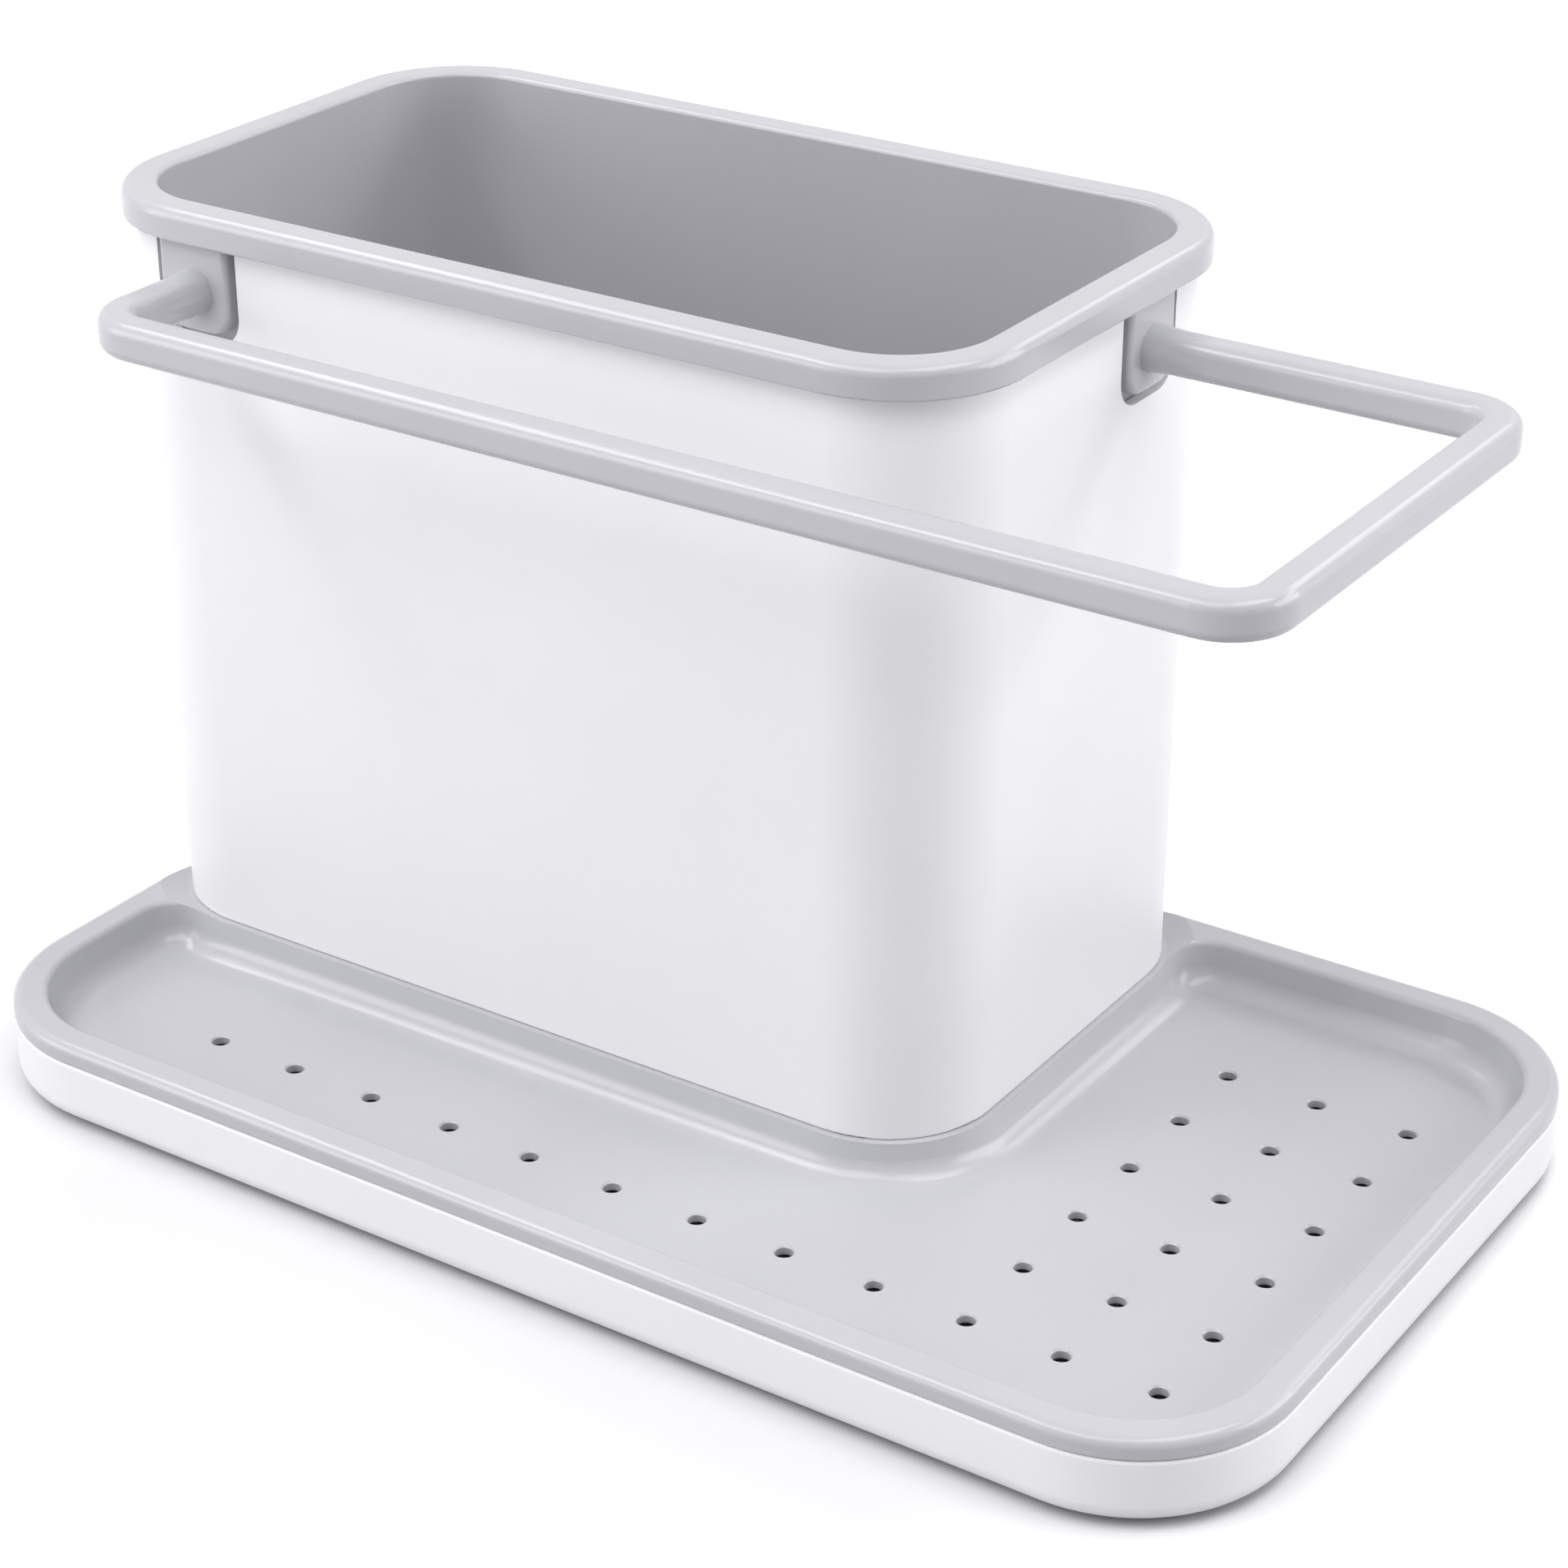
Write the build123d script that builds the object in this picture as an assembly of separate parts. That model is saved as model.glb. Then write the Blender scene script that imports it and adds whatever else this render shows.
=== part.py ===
from build123d import *
import os

# A caddy that stands beside a kitchen sink: a white base tray on rubber feet, a grey drain tray
# on it, a white bin at the tray's back left, a grey liner hung in the bin, and a towel rail
# that leaves the liner at the front, turns round the bin's front right corner and comes back.
# Millimetres, +Z up, +X along the long side, +Y to the back. The origin is the middle of the
# whole caddy's footprint, on the plane that the feet stand on.

# Base tray
TRAY_LENGTH = 285.0
TRAY_DEPTH = 170.0
TRAY_CORNER = 32.0
BASE_HEIGHT = 13.6
BASE_WALL = 2.2
BASE_FLOOR = 2.0
BASE_BOTTOM_ROUND = 4.0
BASE_INSIDE_ROUND = 2.5
BASE_LIP_ROUND = 0.8

# Rubber feet, each half sunk in a pocket under the base tray
FOOT_RADIUS = 6.0
FOOT_STAND = 1.0
FOOT_SUNK = 1.0
FOOT_EDGE_ROUND = 0.4
FOOT_INSET = 24.0
FOOT_CLEARANCE = 0.1

# Drain tray
BAND_HEIGHT = 4.2
TRAY_EDGE_ROUND = 1.9
BAND_CHAMFER = 0.4
LIP_CLEARANCE = 0.3
WELL_INSET = 6.8
WELL_DEPTH = 9.0
WELL_FLOOR = 1.8
WELL_TAPER = 14.0
WELL_FLOOR_ROUND = 5.0
WELL_END_ROUND = 9.0
WELL_EDGE_ROUND = 1.4
DECK_DROP = 2.0
DECK_MARGIN = 1.2
DECK_SLOPE_RUN = 5.5
DECK_THICKNESS = 2.0
DECK_WALL = 2.0
DECK_RIB_HEIGHT = 2.0
DECK_RIB_WIDTH = 2.0
DECK_RIB_CLEARANCE = 0.4

# Drain holes: one row along the front, and more rows behind its right end
HOLE_RADIUS = 1.75
HOLE_CHAMFER = 0.35
HOLE_PITCH_X = 19.5
HOLE_PITCH_Y = 20.1
FIRST_HOLE_FROM_LEFT = 45.9
FIRST_HOLE_FROM_FRONT = 29.9
HOLE_MARGIN = 22.0

# Slots that let the water through under the bin
DRAIN_SLOT_COUNT = 5
DRAIN_SLOT_LENGTH = 40.0
DRAIN_SLOT_WIDTH = 4.0
DRAIN_SLOT_PITCH = 28.0

# Bin
BIN_LENGTH = 194.5
BIN_DEPTH = 109.5
BIN_CORNER = 23.0
BIN_BACK_INSET = 1.0
BIN_WALL = 2.2
BIN_HEIGHT = 153.8
BIN_DRAFT = 0.3
BIN_FOOT_HEIGHT = 3.0
BIN_FLOOR = 2.2
BIN_FOOT_ROUND = 0.5
BIN_INSIDE_ROUND = 3.0

# Liner
LINER_CLEARANCE = 0.4
LINER_WALL = 2.0
LINER_FLOOR = 2.0
LINER_STANDOFF = 2.0
LINER_CORNER_ROUND = 4.0
LINER_DRAIN_RADIUS = 2.5
LINER_DRAIN_PITCH = 22.0
LINER_DRAIN_COLUMNS = 6
LINER_DRAIN_ROWS = 3
RIM_HEIGHT = 6.4
RIM_OVERHANG = 2.6
RIM_TOP = 2.2
RIM_CLEARANCE = 0.3
RIM_OUTER_ROUND = 2.0
RIM_INNER_ROUND = 1.0
RIM_LOWER_ROUND = 0.5

# Pads that hang from the rim in the bin's slots
PAD_WIDTH = 16.8
PAD_GAP = 1.8
PAD_DROP = 18.0
PAD_PROUD = 1.2
PAD_CORNER = 5.0
PAD_EDGE_ROUND = 1.2
FRONT_PAD_FROM_LEFT = 27.3
RIGHT_PAD_FROM_BACK = 37.0

# Towel rail
RAIL_SIZE = 7.6
RAIL_EDGE_ROUND = 2.2
RAIL_BEND = 9.0
RAIL_BELOW_RIM_TOP = 16.2
RAIL_TO_FRONT = 31.5
RAIL_TO_RIGHT = 77.2
RAIL_COLLAR_RADIUS = 4.7
RAIL_NECK_RADIUS = 3.6
RAIL_COLLAR_LENGTH = 14.0
RAIL_PIN_RADIUS = 2.5
RAIL_PIN_LENGTH = 4.0
RAIL_PIN_CLEARANCE = 0.05
RAIL_BORE_EXTRA = 0.3

# Every cut runs past the face that it opens by this much
OVERRUN = 2.0

# Edges and faces count as lying at a height when they are this near to it
FLAT_TOLERANCE = 0.001

# Places worked out from the sizes above
RIM_REACH = BIN_DRAFT + RIM_OVERHANG
TRAY_X = RIM_REACH / 2
TRAY_Y = (BIN_BACK_INSET - RIM_REACH) / 2
TRAY_LEFT = TRAY_X - TRAY_LENGTH / 2
TRAY_FRONT = TRAY_Y - TRAY_DEPTH / 2
TRAY_BACK = TRAY_Y + TRAY_DEPTH / 2
SEAM_Z = FOOT_STAND + BASE_HEIGHT
TRAY_TOP_Z = SEAM_Z + BAND_HEIGHT
WELL_FLOOR_Z = TRAY_TOP_Z - WELL_DEPTH
TRAY_UNDERSIDE_Z = WELL_FLOOR_Z - WELL_FLOOR
DECK_Z = TRAY_TOP_Z - DECK_DROP
BIN_X = TRAY_LEFT + BIN_LENGTH / 2
BIN_Y = TRAY_BACK - BIN_BACK_INSET - BIN_DEPTH / 2
BIN_FRONT = BIN_Y - BIN_DEPTH / 2
BIN_RIGHT = BIN_X + BIN_LENGTH / 2
BIN_FLOOR_Z = DECK_Z + BIN_FOOT_HEIGHT
BIN_TOP_Z = DECK_Z + BIN_HEIGHT
LINER_BOTTOM_Z = BIN_FLOOR_Z + BIN_FLOOR + LINER_STANDOFF
RIM_TOP_Z = BIN_TOP_Z + RIM_TOP
RIM_BOTTOM_Z = RIM_TOP_Z - RIM_HEIGHT
PAD_BOTTOM_Z = RIM_BOTTOM_Z - PAD_DROP
RAIL_Z = RIM_TOP_Z - RAIL_BELOW_RIM_TOP
FRONT_PAD_X = TRAY_LEFT + FRONT_PAD_FROM_LEFT
RIGHT_PAD_Y = TRAY_BACK - RIGHT_PAD_FROM_BACK
PAD_FRONT_FACE_Y = BIN_FRONT - PAD_PROUD
PAD_RIGHT_FACE_X = BIN_RIGHT + PAD_PROUD

# The holes' grid goes on while a hole keeps its margin to the tray's far edges, and the rows
# behind the first are drilled only where a hole keeps that margin to the bin as well
HOLE_COLUMNS = 1 + int((TRAY_LENGTH - FIRST_HOLE_FROM_LEFT - HOLE_MARGIN) / HOLE_PITCH_X)
HOLE_ROWS = 1 + int((TRAY_DEPTH - FIRST_HOLE_FROM_FRONT - HOLE_MARGIN) / HOLE_PITCH_Y)


def rounded_plate(x, y, z, length, depth, corner, height):
    """A plate with rounded upright corners, standing on height z."""
    return extrude(Pos(x, y, z) * RectangleRounded(length, depth, corner), amount=height)


def bin_shape(inset, low_z, high_z):
    """The bin's outer form, moved in by inset, with its draft, between two heights."""
    faces = []
    for z in (low_z, high_z):
        grow = BIN_DRAFT * (z - DECK_Z) / BIN_HEIGHT - inset
        outline = RectangleRounded(BIN_LENGTH + 2 * grow, BIN_DEPTH + 2 * grow, BIN_CORNER + grow)
        faces.append((Pos(BIN_X, BIN_Y, z) * outline).face())
    return loft(faces, ruled=True)


def edges_at(shape, z):
    """The edges that lie flat at height z."""
    low = z - FLAT_TOLERANCE
    high = z + FLAT_TOLERANCE
    boxes = [(edge, edge.bounding_box()) for edge in shape.edges()]
    return [edge for edge, box in boxes if low < box.min.Z and box.max.Z < high]


def foot_places():
    """The middles of the four feet, by name."""
    half_x = TRAY_LENGTH / 2 - FOOT_INSET
    half_y = TRAY_DEPTH / 2 - FOOT_INSET
    return {
        "foot_front_left": (TRAY_X - half_x, TRAY_Y - half_y),
        "foot_front_right": (TRAY_X + half_x, TRAY_Y - half_y),
        "foot_back_left": (TRAY_X - half_x, TRAY_Y + half_y),
        "foot_back_right": (TRAY_X + half_x, TRAY_Y + half_y),
    }


def make_foot(x, y):
    height = FOOT_STAND + FOOT_SUNK
    foot = Pos(x, y, height / 2) * Cylinder(FOOT_RADIUS, height)
    return fillet(edges_at(foot, 0), FOOT_EDGE_ROUND)


def make_base_tray():
    shell = rounded_plate(TRAY_X, TRAY_Y, FOOT_STAND, TRAY_LENGTH, TRAY_DEPTH, TRAY_CORNER, BASE_HEIGHT)
    shell = fillet(edges_at(shell, FOOT_STAND), BASE_BOTTOM_ROUND)
    shell = fillet(edges_at(shell, SEAM_Z), BASE_LIP_ROUND)
    hollow = rounded_plate(
        TRAY_X,
        TRAY_Y,
        FOOT_STAND + BASE_FLOOR,
        TRAY_LENGTH - 2 * BASE_WALL,
        TRAY_DEPTH - 2 * BASE_WALL,
        TRAY_CORNER - BASE_WALL,
        BASE_HEIGHT,
    )
    shell -= fillet(edges_at(hollow, FOOT_STAND + BASE_FLOOR), BASE_INSIDE_ROUND)
    for x, y in foot_places().values():
        pocket = Cylinder(FOOT_RADIUS + FOOT_CLEARANCE, FOOT_SUNK + OVERRUN)
        shell -= Pos(x, y, FOOT_STAND + FOOT_SUNK - (FOOT_SUNK + OVERRUN) / 2) * pocket
    return shell


def well_outline():
    """The L-shaped well seen from above, at the rim's height, with rounded ends."""
    tray = Pos(TRAY_X, TRAY_Y) * RectangleRounded(
        TRAY_LENGTH - 2 * WELL_INSET, TRAY_DEPTH - 2 * WELL_INSET, TRAY_CORNER - WELL_INSET
    )
    deck = Pos(BIN_X, BIN_Y) * RectangleRounded(
        BIN_LENGTH + 2 * DECK_MARGIN, BIN_DEPTH + 2 * DECK_MARGIN, BIN_CORNER + DECK_MARGIN
    )
    narrowed = offset(tray - deck, amount=-WELL_END_ROUND)
    return offset(narrowed, amount=WELL_END_ROUND)


def make_well():
    """The space of the well, with leaning walls and a soft bend into its floor."""
    outline = Pos(0, 0, TRAY_TOP_Z) * well_outline()
    well = extrude(outline, amount=-WELL_DEPTH, taper=WELL_TAPER)
    return fillet(edges_at(well, WELL_FLOOR_Z), WELL_FLOOR_ROUND)


def make_deck_space():
    """The space over the deck, with a slope up to the rim round the bin's foot."""
    faces = []
    for height, run in ((0, 0), (2 * DECK_DROP, 2 * DECK_SLOPE_RUN)):
        grow = DECK_MARGIN + run
        outline = RectangleRounded(BIN_LENGTH + 2 * grow, BIN_DEPTH + 2 * grow, BIN_CORNER + grow)
        faces.append((Pos(BIN_X, BIN_Y, DECK_Z + height) * outline).face())
    return loft(faces, ruled=True)


def drain_hole_places():
    """The front row's holes, then the shorter rows behind its right end."""
    places = []
    for column in range(HOLE_COLUMNS):
        x = TRAY_LEFT + FIRST_HOLE_FROM_LEFT + column * HOLE_PITCH_X
        rows = HOLE_ROWS if x > BIN_RIGHT + HOLE_MARGIN else 1
        for row in range(rows):
            y = TRAY_FRONT + FIRST_HOLE_FROM_FRONT + row * HOLE_PITCH_Y
            places.append((x, y))
    return places


def drain_slots(low_z, height):
    """A row of slots under the middle of the bin."""
    slots = []
    for index in range(DRAIN_SLOT_COUNT):
        x = BIN_X + (index - (DRAIN_SLOT_COUNT - 1) / 2) * DRAIN_SLOT_PITCH
        outline = Pos(x, BIN_Y, low_z) * Rot(0, 0, 90) * SlotOverall(DRAIN_SLOT_LENGTH, DRAIN_SLOT_WIDTH)
        slots.append(extrude(outline, amount=height))
    return slots


def beside_well(box):
    """Whether an edge of the deck lies along the well, and not along the tray's own edge."""
    return box.min.X > TRAY_LEFT + WELL_INSET and box.max.Y < TRAY_BACK - WELL_INSET


def solid_drain_tray():
    """The tray with its well and its deck, still solid below and with no holes."""
    band = rounded_plate(TRAY_X, TRAY_Y, SEAM_Z, TRAY_LENGTH, TRAY_DEPTH, TRAY_CORNER, BAND_HEIGHT)
    band = fillet(edges_at(band, TRAY_TOP_Z), TRAY_EDGE_ROUND)
    band = chamfer(edges_at(band, SEAM_Z), BAND_CHAMFER)
    lip_inset = BASE_WALL + LIP_CLEARANCE
    lip = rounded_plate(
        TRAY_X,
        TRAY_Y,
        TRAY_UNDERSIDE_Z,
        TRAY_LENGTH - 2 * lip_inset,
        TRAY_DEPTH - 2 * lip_inset,
        TRAY_CORNER - lip_inset,
        SEAM_Z - TRAY_UNDERSIDE_Z + BAND_CHAMFER,
    )
    tray = band + lip - make_well()
    rim_face = tray.faces().sort_by(Axis.Z)[-1]
    tray = fillet(rim_face.inner_wires()[0].edges(), WELL_EDGE_ROUND)
    tray -= make_deck_space()
    deck_edges = [edge for edge in edges_at(tray, DECK_Z) if beside_well(edge.bounding_box())]
    return fillet(deck_edges, WELL_EDGE_ROUND)


def deck_hollow():
    """The space under the deck, open below."""
    left = TRAY_LEFT + BASE_WALL + LIP_CLEARANCE + DECK_WALL
    back = TRAY_BACK - BASE_WALL - LIP_CLEARANCE - DECK_WALL
    front = BIN_FRONT - DECK_MARGIN + DECK_WALL
    right = BIN_RIGHT + DECK_MARGIN - DECK_WALL
    low = TRAY_UNDERSIDE_Z - OVERRUN
    return rounded_plate(
        (left + right) / 2,
        (front + back) / 2,
        low,
        right - left,
        back - front,
        BIN_CORNER,
        DECK_Z - DECK_THICKNESS - low,
    )


def make_drain_tray():
    tray = solid_drain_tray() - deck_hollow()
    rib_inset = BIN_WALL + DECK_RIB_CLEARANCE
    rib = rounded_plate(
        BIN_X,
        BIN_Y,
        DECK_Z,
        BIN_LENGTH - 2 * rib_inset,
        BIN_DEPTH - 2 * rib_inset,
        BIN_CORNER - rib_inset,
        DECK_RIB_HEIGHT,
    )
    inside = rib_inset + DECK_RIB_WIDTH
    rib -= rounded_plate(
        BIN_X,
        BIN_Y,
        DECK_Z,
        BIN_LENGTH - 2 * inside,
        BIN_DEPTH - 2 * inside,
        BIN_CORNER - inside,
        DECK_RIB_HEIGHT,
    )
    tray += rib
    cuts = drain_slots(DECK_Z - DECK_THICKNESS - OVERRUN, DECK_THICKNESS + 2 * OVERRUN)
    for x, y in drain_hole_places():
        depth = WELL_FLOOR + 2 * OVERRUN
        cuts.append(Pos(x, y, WELL_FLOOR_Z - WELL_FLOOR / 2) * Cylinder(HOLE_RADIUS, depth))
        dish = Cone(HOLE_RADIUS, HOLE_RADIUS + 2 * HOLE_CHAMFER, 2 * HOLE_CHAMFER)
        cuts.append(Pos(x, y, WELL_FLOOR_Z) * dish)
    return tray - cuts


def slot_space(width, low_z, corner, through):
    """An upright slot with rounded lower corners, open above, seen from the front."""
    high_z = RIM_TOP_Z + OVERRUN
    outline = Pos(0, (low_z + high_z) / 2) * Rectangle(width, high_z - low_z)
    lower = outline.vertices().group_by(Axis.Y)[0]
    outline = fillet(lower, corner)
    return extrude(Plane.XZ * outline, amount=through / 2, both=True)


def make_bin():
    body = bin_shape(0, DECK_Z, BIN_TOP_Z)
    body = fillet(edges_at(body, DECK_Z), BIN_FOOT_ROUND)
    inside_z = BIN_FLOOR_Z + BIN_FLOOR
    hollow = bin_shape(BIN_WALL, inside_z, BIN_TOP_Z + OVERRUN)
    body -= fillet(edges_at(hollow, inside_z), BIN_INSIDE_ROUND)
    body -= bin_shape(BIN_WALL, DECK_Z - OVERRUN, BIN_FLOOR_Z)
    slot_width = PAD_WIDTH + 2 * PAD_GAP
    slot_corner = PAD_CORNER + PAD_GAP / 2
    slot = slot_space(slot_width, PAD_BOTTOM_Z - PAD_GAP, slot_corner, 4 * BIN_WALL)
    body -= Pos(FRONT_PAD_X, BIN_FRONT, 0) * slot
    body -= Pos(BIN_RIGHT, RIGHT_PAD_Y, 0) * Rot(0, 0, 90) * slot
    return body - drain_slots(BIN_FLOOR_Z - OVERRUN, BIN_FLOOR + 2 * OVERRUN)


def make_pad():
    """A pad that faces the front, with its face at y = 0 and its middle at x = 0."""
    thickness = PAD_PROUD + BIN_WALL + LINER_CLEARANCE + LINER_WALL / 2
    top_z = RIM_TOP_Z - RIM_TOP
    outline = Pos(0, (PAD_BOTTOM_Z + top_z) / 2) * Rectangle(PAD_WIDTH, top_z - PAD_BOTTOM_Z)
    outline = fillet(outline.vertices().group_by(Axis.Y)[0], PAD_CORNER)
    pad = extrude(Plane.XZ * outline, amount=-thickness)
    face = pad.faces().sort_by(Axis.Y)[0]
    rounded = [edge for edge in face.edges() if edge.bounding_box().min.Z < top_z - FLAT_TOLERANCE]
    return fillet(rounded, PAD_EDGE_ROUND)


def rail_bore():
    """A blind hole along +Y from y = 0, at the rail's height."""
    depth = RAIL_PIN_LENGTH + RAIL_BORE_EXTRA
    bore = Cylinder(RAIL_PIN_RADIUS + RAIL_PIN_CLEARANCE, depth + OVERRUN)
    return Pos(0, (depth - OVERRUN) / 2, RAIL_Z) * Rot(90, 0, 0) * bore


def make_liner():
    skin = BIN_WALL + LINER_CLEARANCE
    body = bin_shape(skin, LINER_BOTTOM_Z, RIM_TOP_Z)
    body = fillet(edges_at(body, LINER_BOTTOM_Z), LINER_CORNER_ROUND + LINER_WALL)
    rim = bin_shape(-RIM_OVERHANG, RIM_BOTTOM_Z, RIM_TOP_Z)
    rim = fillet(edges_at(rim, RIM_TOP_Z), RIM_OUTER_ROUND)
    rim = fillet(edges_at(rim, RIM_BOTTOM_Z), RIM_LOWER_ROUND)
    rim -= bin_shape(-RIM_CLEARANCE, RIM_BOTTOM_Z - OVERRUN, BIN_TOP_Z)
    body += rim
    body += Pos(FRONT_PAD_X, PAD_FRONT_FACE_Y, 0) * make_pad()
    body += Pos(PAD_RIGHT_FACE_X, RIGHT_PAD_Y, 0) * Rot(0, 0, 90) * make_pad()
    inside_z = LINER_BOTTOM_Z + LINER_FLOOR
    hollow = bin_shape(skin + LINER_WALL, inside_z, RIM_TOP_Z + OVERRUN)
    hollow = fillet(edges_at(hollow, inside_z), LINER_CORNER_ROUND)
    body -= hollow
    rim_face = body.faces().sort_by(Axis.Z)[-1]
    body = fillet(rim_face.inner_wires()[0].edges(), RIM_INNER_ROUND)
    body -= Pos(FRONT_PAD_X, PAD_FRONT_FACE_Y, 0) * rail_bore()
    body -= Pos(PAD_RIGHT_FACE_X, RIGHT_PAD_Y, 0) * Rot(0, 0, 90) * rail_bore()
    for column in range(LINER_DRAIN_COLUMNS):
        for row in range(LINER_DRAIN_ROWS):
            x = BIN_X + (column - (LINER_DRAIN_COLUMNS - 1) / 2) * LINER_DRAIN_PITCH
            y = BIN_Y + (row - (LINER_DRAIN_ROWS - 1) / 2) * LINER_DRAIN_PITCH
            hole = Cylinder(LINER_DRAIN_RADIUS, LINER_FLOOR + 2 * OVERRUN)
            body -= Pos(x, y, LINER_BOTTOM_Z + LINER_FLOOR / 2) * hole
    return body


def rail_end():
    """The round end of the rail: a collar that narrows into the bar, and its pin.

    The collar's flat end is at y = 0, the bar leaves along -Y and the pin along +Y.
    """
    collar = Cone(RAIL_COLLAR_RADIUS, RAIL_NECK_RADIUS, RAIL_COLLAR_LENGTH)
    pin = Cylinder(RAIL_PIN_RADIUS, RAIL_PIN_LENGTH)
    end = Pos(0, -RAIL_COLLAR_LENGTH / 2, 0) * Rot(90, 0, 0) * collar
    return end + Pos(0, RAIL_PIN_LENGTH / 2, 0) * Rot(90, 0, 0) * pin


def make_rail():
    front_y = BIN_FRONT - RAIL_TO_FRONT + RAIL_SIZE / 2
    right_x = BIN_RIGHT + RAIL_TO_RIGHT - RAIL_SIZE / 2
    route = FilletPolyline(
        (FRONT_PAD_X, PAD_FRONT_FACE_Y, RAIL_Z),
        (FRONT_PAD_X, front_y, RAIL_Z),
        (right_x, front_y, RAIL_Z),
        (right_x, RIGHT_PAD_Y, RAIL_Z),
        (PAD_RIGHT_FACE_X, RIGHT_PAD_Y, RAIL_Z),
        radius=RAIL_BEND,
    )
    start = Plane(origin=route @ 0, x_dir=(1, 0, 0), z_dir=route % 0)
    bar = sweep(start * RectangleRounded(RAIL_SIZE, RAIL_SIZE, RAIL_EDGE_ROUND), path=route)
    bar += Pos(FRONT_PAD_X, PAD_FRONT_FACE_Y, RAIL_Z) * rail_end()
    bar += Pos(PAD_RIGHT_FACE_X, RIGHT_PAD_Y, RAIL_Z) * Rot(0, 0, 90) * rail_end()
    return bar


def build():
    nodes = {
        "base_tray": make_base_tray(),
        "drain_tray": make_drain_tray(),
        "caddy_bin": make_bin(),
        "liner": make_liner(),
        "towel_rail": make_rail(),
    }
    for name, (x, y) in foot_places().items():
        nodes[name] = make_foot(x, y)
    return nodes


os.makedirs("parts", exist_ok=True)
for name, shape in build().items():
    export_step(shape, f"parts/{name}.step")
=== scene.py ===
# %% [markdown]
# A sink caddy in moulded plastic
#
# The object is a caddy for a kitchen sink. A white tray on rubber feet carries a grey drain
# tray, a white bin stands on the drain tray's deck, a grey liner hangs in the bin by its rim,
# and a grey towel rail leaves the liner in front and comes back to it on the right.
#
# Every piece is injection moulded, so its shape is exact and its edges are small, even rounds.
# Such pieces are drawn in CAD, and this lesson loads them as they are. What is left for Blender
# is the rest of what the eye reads: the plastic's colour and sheen, the grain that the steel
# mould leaves, the marks of use, the worktop, the light and the camera.

# %% Load the caddy
import math

import bpy
from mathutils import Matrix, Vector


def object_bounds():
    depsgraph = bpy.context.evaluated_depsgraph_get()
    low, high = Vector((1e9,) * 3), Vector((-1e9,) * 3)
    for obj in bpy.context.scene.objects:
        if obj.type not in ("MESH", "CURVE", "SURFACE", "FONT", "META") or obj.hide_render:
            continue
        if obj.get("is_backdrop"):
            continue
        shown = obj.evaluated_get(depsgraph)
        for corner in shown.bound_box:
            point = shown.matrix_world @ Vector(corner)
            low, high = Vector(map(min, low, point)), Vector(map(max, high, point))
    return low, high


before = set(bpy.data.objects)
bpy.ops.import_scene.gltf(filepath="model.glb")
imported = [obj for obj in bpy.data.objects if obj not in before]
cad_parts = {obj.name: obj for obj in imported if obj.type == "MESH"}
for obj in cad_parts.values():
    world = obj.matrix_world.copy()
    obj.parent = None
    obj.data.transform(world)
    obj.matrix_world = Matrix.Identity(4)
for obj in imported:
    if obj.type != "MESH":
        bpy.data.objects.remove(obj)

cad_low, cad_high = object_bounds()
print("pieces:", ", ".join(sorted(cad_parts)))
print("size in mm:", [round(1000 * side, 1) for side in cad_high - cad_low])

# %% [markdown]
# Colours
#
# A colour that is picked from a picture or a paint chart is an sRGB code, such as #EDEDF0. The
# shader wants linear light. Each channel could be typed in as a linear number, but then nobody
# could read the colour back, so one function turns the code into linear light.


# %% Turn a colour code into linear light
def linear(code):
    channels = []
    for start in (1, 3, 5):
        value = int(code[start:start + 2], 16) / 255
        channels.append(value / 12.92 if value <= 0.04045 else ((value + 0.055) / 1.055) ** 2.4)
    return (*channels, 1.0)


print("middle grey #808080 is", round(linear("#808080")[0], 3), "in linear light")


# %% [markdown]
# Building a material from nodes
#
# A material is a small graph. It could be drawn by hand in the shader editor. In a script the
# same thing is said with one helper that adds a node, sets its own settings, and fills its
# inputs. An input is named, or counted as in _0, and is given either a number or colour, or
# another node's output to link to.


# %% Add a node
def add_node(tree, kind, settings=None, **inputs):
    node = tree.nodes.new(kind)
    for name, value in (settings or {}).items():
        setattr(node, name, value)
    for name, value in inputs.items():
        counted = name[1:].isdigit()
        socket = node.inputs[int(name[1:]) if counted else name.replace("_", " ")]
        if isinstance(value, bpy.types.NodeSocket):
            tree.links.new(value, socket)
        else:
            socket.default_value = value
    return node


# %% Start a material, and put it on pieces
def new_material(name):
    material = bpy.data.materials.new(name)
    material.use_nodes = True
    material.node_tree.nodes.clear()
    return material, material.node_tree


def dress(names, material):
    for name in names:
        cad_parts[name].material_slots[0].material = material
    print(material.name, "on", ", ".join(names))


# %% [markdown]
# Patches and grain
#
# No moulded piece has one even colour. The melt leaves broad clouds in a plastic, and dust
# leaves small patches on a rubber. Both can be painted, or drawn as noise that slides from one
# colour to another. Noise is used here, on Object coordinates, which stay put on the piece when
# it is lifted out. Its scale counts patches in a metre, so it is worked out from a patch's real
# width in millimetres.
#
# A mould for such goods is spark eroded, and the piece copies its grain. The grain could be
# modelled, but it is far below the size of a face, so it is a bump.


# %% Draw patches of colour and a fine grain
def per_metre(millimetres):
    return 1000.0 / millimetres


def patchy_colour(tree, place, patch_mm, stops, detail):
    patches = add_node(tree, "ShaderNodeTexNoise", Vector=place, Scale=per_metre(patch_mm), Detail=detail)
    colour = add_node(tree, "ShaderNodeValToRGB", Fac=patches.outputs[0])
    for element, (position, code) in zip(colour.color_ramp.elements, stops):
        element.position = position
        element.color = linear(code)
    return colour.outputs[0]


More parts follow.
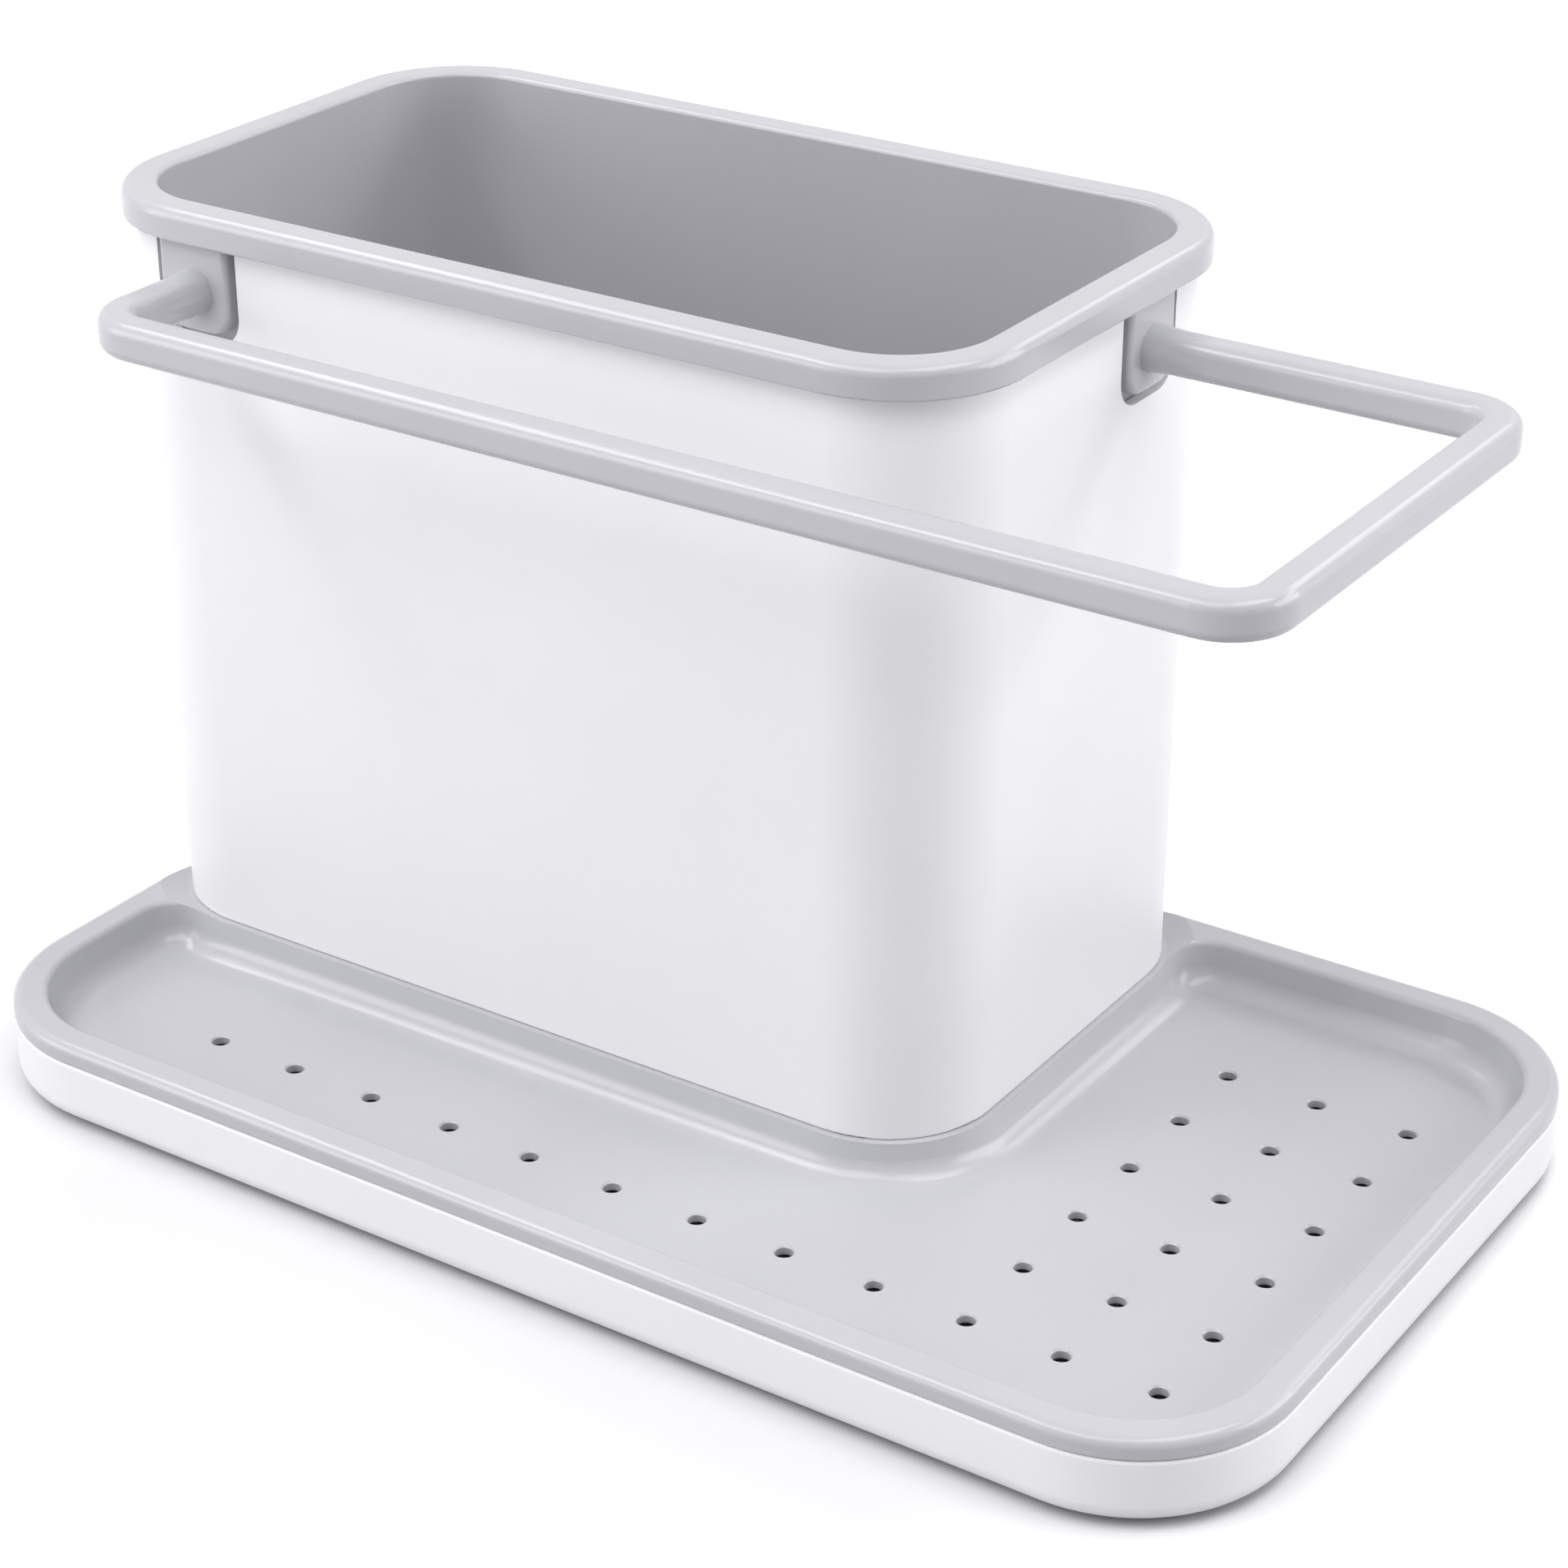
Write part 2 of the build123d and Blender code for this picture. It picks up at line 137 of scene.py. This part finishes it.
def grainy_normal(tree, place, grain_mm, depth_mm, strength):
    grain = add_node(tree, "ShaderNodeTexNoise", Vector=place, Scale=per_metre(grain_mm), Detail=2.0)
    bump = add_node(
        tree, "ShaderNodeBump", Strength=strength, Distance=depth_mm / 1000, Height=grain.outputs[0]
    )
    return bump.outputs[0]


print("patches 55 mm wide come", round(per_metre(55), 1), "times in a metre")

# %% [markdown]
# Moulded plastic
#
# The bin and the lower tray are white polypropylene, the usual plastic for things that stand in
# water. The grey pieces are the same plastic with a grey master batch. The eye gets three things
# from how it was moulded and used: a soft satin sheen instead of a mirror, broad faint clouds in
# the colour, and patches that hands and sponges have rubbed a little glossier. The grey pieces
# come out of a smoother mould, so they shine more than the white ones.

# %% Make the moulded plastic
GRAIN_MM = 0.5  # the real grain is about 0.05 mm wide; this is the finest that still shows
GRAIN_DEPTH_MM = 0.06
CLOUD_MM = 55.0
RUB_MM = 30.0
RUB_CHANGE = 0.02  # how far rubbing moves the roughness to either side
NOISE_LOW, NOISE_HIGH = 0.3, 0.7  # noise seldom leaves this range
POLYPROPYLENE_IOR = 1.49


def moulded_plastic(name, light_code, dark_code, roughness):
    material, tree = new_material(name)
    place = add_node(tree, "ShaderNodeTexCoord").outputs["Object"]
    stops = ((NOISE_LOW, dark_code), (NOISE_HIGH, light_code))
    rubbed = add_node(tree, "ShaderNodeTexNoise", Vector=place, Scale=per_metre(RUB_MM), Detail=2.0)
    sheen = add_node(
        tree,
        "ShaderNodeMapRange",
        Value=rubbed.outputs[0],
        From_Min=NOISE_LOW,
        From_Max=NOISE_HIGH,
        To_Min=roughness + RUB_CHANGE,
        To_Max=roughness - RUB_CHANGE,
    )
    plastic = add_node(
        tree,
        "ShaderNodeBsdfPrincipled",
        Base_Color=patchy_colour(tree, place, CLOUD_MM, stops, detail=3.0),
        Roughness=sheen.outputs[0],
        IOR=POLYPROPYLENE_IOR,
        Normal=grainy_normal(tree, place, GRAIN_MM, GRAIN_DEPTH_MM, strength=0.25),
    )
    add_node(tree, "ShaderNodeOutputMaterial", Surface=plastic.outputs[0])
    return material


white_plastic = moulded_plastic("white_polypropylene_moulded", "#F1F0F2", "#EEEDEF", roughness=0.40)
grey_plastic = moulded_plastic("grey_polypropylene_moulded", "#BDBDC2", "#B9B9BE", roughness=0.22)
dress(("base_tray", "caddy_bin"), white_plastic)
dress(("drain_tray", "liner", "towel_rail"), grey_plastic)

# %% [markdown]
# Rubber feet
#
# Four soft feet are pressed into pockets under the lower tray. They are a thermoplastic rubber:
# dull, with a faint dusting in small patches. A rubber scatters nearly all of its light, so the
# roughness is high, and the dust is a coarse noise in the colour.

# %% Make the rubber and dress the feet
DUST_MM = 3.0
DUST_STARTS, DUST_FULL = 0.4, 0.75  # of the noise
RUBBER_GRAIN_MM = 0.4
RUBBER_GRAIN_DEPTH_MM = 0.08
RUBBER_ROUGHNESS = 0.8
RUBBER_IOR = 1.52


def moulded_rubber(name, clean_code, dusty_code):
    material, tree = new_material(name)
    place = add_node(tree, "ShaderNodeTexCoord").outputs["Object"]
    stops = ((DUST_STARTS, clean_code), (DUST_FULL, dusty_code))
    rubber = add_node(
        tree,
        "ShaderNodeBsdfPrincipled",
        Base_Color=patchy_colour(tree, place, DUST_MM, stops, detail=5.0),
        Roughness=RUBBER_ROUGHNESS,
        IOR=RUBBER_IOR,
        Normal=grainy_normal(tree, place, RUBBER_GRAIN_MM, RUBBER_GRAIN_DEPTH_MM, strength=0.4),
    )
    add_node(tree, "ShaderNodeOutputMaterial", Surface=rubber.outputs[0])
    return material


foot_rubber = moulded_rubber("grey_rubber_moulded", "#8C8C91", "#A3A3A6")
dress([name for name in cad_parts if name.startswith("foot_")], foot_rubber)

# %% [markdown]
# The worktop
#
# The caddy stands on a plain white worktop that fills the picture. It could be a huge plane, but
# a round sheet looks the same from every side.

# %% Lay the worktop
WORKTOP_RADIUS = 4.0
WORKTOP_CORNERS = 96

bpy.ops.object.select_all(action="DESELECT")
bpy.ops.mesh.primitive_circle_add(vertices=WORKTOP_CORNERS, radius=WORKTOP_RADIUS, fill_type="NGON")
worktop = bpy.context.object
worktop.name = "worktop"
worktop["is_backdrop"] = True
print("worktop", 2 * WORKTOP_RADIUS, "m across")

# %% [markdown]
# Rays that look and rays that light
#
# A truly white worktop would throw too much light back up and blow out the white plastic. The
# Light Path node tells what a ray is for, so a surface can show itself in one way and light the
# caddy in another. A ray looks when it comes from the camera, from a reflection or through
# something clear.


# %% Tell the rays that look
def looking_rays(tree):
    rays = add_node(tree, "ShaderNodeLightPath").outputs
    looking = rays["Is Camera Ray"]
    for kind in ("Is Glossy Ray", "Is Transmission Ray"):
        either = add_node(tree, "ShaderNodeMath", {"operation": "MAXIMUM"}, _0=looking, _1=rays[kind])
        looking = either.outputs[0]
    return looking


# %% [markdown]
# White laminate
#
# What the worktop gives the caddy is the light of a pale grey sheet. The rays that look see it
# whiter: a lighter colour, and a little painted light of the sheet's own. That glow is weakest
# along the caddy's front edge, which paints a broad shade where the shadow lies. It grows away
# from there, and once more beyond the lamps. Ambient Occlusion takes it out of the last few
# millimetres beside the caddy, a painted contact shadow that stays dark.

# %% Make the worktop's laminate
SEAM_WIDTH = 0.015
# Where Ambient Occlusion is low, beside the caddy, the glow fades out: a painted contact shadow.
PAINTED_SEAM_SHADOW_FADES = {"From_Min": 0.4, "From_Max": 0.7}  # Ambient Occlusion is 1 where nothing is near
SHADOW_STRETCH = (0.55, 1.0, 1.0)  # a place counts as nearer along the front edge than it is
SHADOW_MIDDLE = (0.0, -0.09, 0.0)
# A glow runs from a distance in metres to a strength. The near glow is weaker by the caddy's front edge,
# a painted shade.
NEAR_GLOW_WITH_PAINTED_SHADE = {"From_Min": 0.05, "From_Max": 0.17, "To_Min": 0.18, "To_Max": 0.55}
FAR_GLOW = {"From_Min": 0.6, "From_Max": 1.6, "To_Min": 0.0, "To_Max": 0.6}

material, tree = new_material("white_worktop_laminate")
looking = looking_rays(tree)
colour = add_node(
    tree, "ShaderNodeMix", {"data_type": "RGBA"}, _0=looking, _6=linear("#C6C6C8"), _7=linear("#D0D0D2")
)
lit = add_node(tree, "ShaderNodeBsdfDiffuse", Color=colour.outputs[2])

place = add_node(tree, "ShaderNodeTexCoord").outputs["Object"]
reach = add_node(tree, "ShaderNodeVectorMath", {"operation": "LENGTH"}, _0=place).outputs["Value"]
far_glow = add_node(tree, "ShaderNodeMapRange", Value=reach, **FAR_GLOW).outputs[0]
squeezed = add_node(tree, "ShaderNodeVectorMath", {"operation": "MULTIPLY"}, _0=place, _1=SHADOW_STRETCH)
away = add_node(
    tree, "ShaderNodeVectorMath", {"operation": "DISTANCE"}, _0=squeezed.outputs[0], _1=SHADOW_MIDDLE
)
near_glow_with_painted_shade = add_node(tree, "ShaderNodeMapRange", Value=away.outputs["Value"], **NEAR_GLOW_WITH_PAINTED_SHADE).outputs[0]
glow = add_node(tree, "ShaderNodeMath", {"operation": "ADD"}, _0=near_glow_with_painted_shade, _1=far_glow).outputs[0]

# Ambient Occlusion takes the glow out in the seam beside the caddy, which paints the contact shadow.
open_sky = add_node(tree, "ShaderNodeAmbientOcclusion", {"samples": 16}, Distance=SEAM_WIDTH)
clear = add_node(tree, "ShaderNodeMapRange", Value=open_sky.outputs["AO"], **PAINTED_SEAM_SHADOW_FADES).outputs[0]
for share in (clear, looking):
    glow = add_node(tree, "ShaderNodeMath", {"operation": "MULTIPLY"}, _0=glow, _1=share).outputs[0]
# The sheet's glow, with the painted shade and the painted contact shadow in it.
glow_with_painted_shadows = add_node(tree, "ShaderNodeEmission", Color=linear("#FFFFFF"), Strength=glow)

both = add_node(tree, "ShaderNodeAddShader", _0=lit.outputs[0], _1=glow_with_painted_shadows.outputs[0])
add_node(tree, "ShaderNodeOutputMaterial", Surface=both.outputs[0])
worktop.data.materials.append(material)
print(material.name, "on", worktop.name)

# %% [markdown]
# The room
#
# The room round the worktop is a plain background. It is dim for the rays that light, so the
# lamps shape the caddy, and white for the rays that look.

# %% Set the room
ROOM_LIGHT = 0.08

world = bpy.data.worlds.new("white_room")
bpy.context.scene.world = world
world.use_nodes = True
tree = world.node_tree
tree.nodes.clear()
strength = add_node(tree, "ShaderNodeMapRange", Value=looking_rays(tree), To_Min=ROOM_LIGHT, To_Max=1.0)
sky = add_node(tree, "ShaderNodeBackground", Color=linear("#FFFFFF"), Strength=strength.outputs[0])
add_node(tree, "ShaderNodeOutputWorld", Surface=sky.outputs[0])
print("the room lights the caddy with strength", ROOM_LIGHT)

# %% [markdown]
# The lamps
#
# Product pictures are lit by large soft boxes. Here one stands in front on the left, one on the
# right and a little behind, and two hang over the front and the right side. Nothing bright stands
# behind the camera, so a rounded corner that faces the camera goes a little darker than the flat
# faces beside it. Two long narrow boxes add little light, but their reflections run along the
# rounded upper edges as the thin bright lines that make the plastic look smooth.

# %% Hang the lamps
LAMP_DISTANCE = 1.5
CADDY_MIDDLE = Vector((0, 0, 0.08))


def soft_box(name, azimuth, elevation, width, height, watts):
    a, e = math.radians(azimuth), math.radians(elevation)
    away = Vector((math.sin(a) * math.cos(e), -math.cos(a) * math.cos(e), math.sin(e)))
    bpy.ops.object.light_add(type="AREA", location=CADDY_MIDDLE + LAMP_DISTANCE * away)
    lamp = bpy.context.object
    lamp.name = name
    lamp.rotation_mode = "QUATERNION"
    lamp.rotation_quaternion = away.to_track_quat("Z", "Y")
    lamp.data.shape = "RECTANGLE"
    lamp.data.size = width
    lamp.data.size_y = height
    lamp.data.energy = watts
    lamp.data.color = linear("#FEFEFF")[:3]
    print(name, watts, "W")


soft_box("soft_box_left", azimuth=-42, elevation=15, width=1.2, height=0.8, watts=9.6)
soft_box("soft_box_right", azimuth=117, elevation=18, width=1.2, height=0.8, watts=11.6)
soft_box("soft_box_front_top", azimuth=-8, elevation=55, width=1.2, height=0.8, watts=9.9)
soft_box("soft_box_right_top", azimuth=90, elevation=65, width=1.2, height=0.6, watts=9.6)
soft_box("strip_box_left", azimuth=-72, elevation=54, width=1.5, height=0.22, watts=7.9)
soft_box("strip_box_back", azimuth=156, elevation=37, width=1.5, height=0.22, watts=3.4)

# %% [markdown]
# The camera
#
# The picture is taken from the front right, a little from above, with a long lens, so the
# caddy's edges lean together only slightly. The camera stands back from a point inside the
# caddy, and a few millimetres to the right of it and below, which puts the caddy in the frame.

# %% Place the camera
PHOTO_PIXELS = 1932
FOCAL_PIXELS = 4547
SENSOR_MM = 36
YAW, PITCH = math.radians(33.63), math.radians(26.77)
AIM = Vector((0.00145, -0.00095, 0.081))
CAMERA_BACK = 0.70599
CAMERA_RIGHT = 0.00271
CAMERA_DOWN = 0.00839

back = Vector((math.sin(YAW) * math.cos(PITCH), -math.cos(YAW) * math.cos(PITCH), math.sin(PITCH)))
right = Vector((math.cos(YAW), math.sin(YAW), 0))
up = back.cross(right)

bpy.ops.object.camera_add(location=AIM + CAMERA_RIGHT * right - CAMERA_DOWN * up + CAMERA_BACK * back)
camera = bpy.context.object
camera.name = "product_camera"
camera.rotation_mode = "QUATERNION"
camera.rotation_quaternion = Matrix((right, up, back)).transposed().to_quaternion()
camera.data.sensor_width = SENSOR_MM
camera.data.lens = SENSOR_MM * FOCAL_PIXELS / PHOTO_PIXELS
bpy.context.scene.camera = camera
bpy.context.scene.view_settings.view_transform = "Standard"
print("lens", round(camera.data.lens, 1), "mm")

# %% [markdown]
# Measure and finish
#
# The dressed caddy must be exactly as big as the one that was loaded, so both boxes are measured
# and how far they differ is printed.

# %% Measure the sizes and finish
low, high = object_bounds()
difference = max((low - cad_low).length, (high - cad_high).length)
print("loaded and dressed box differ by", round(1000 * difference, 3), "mm")
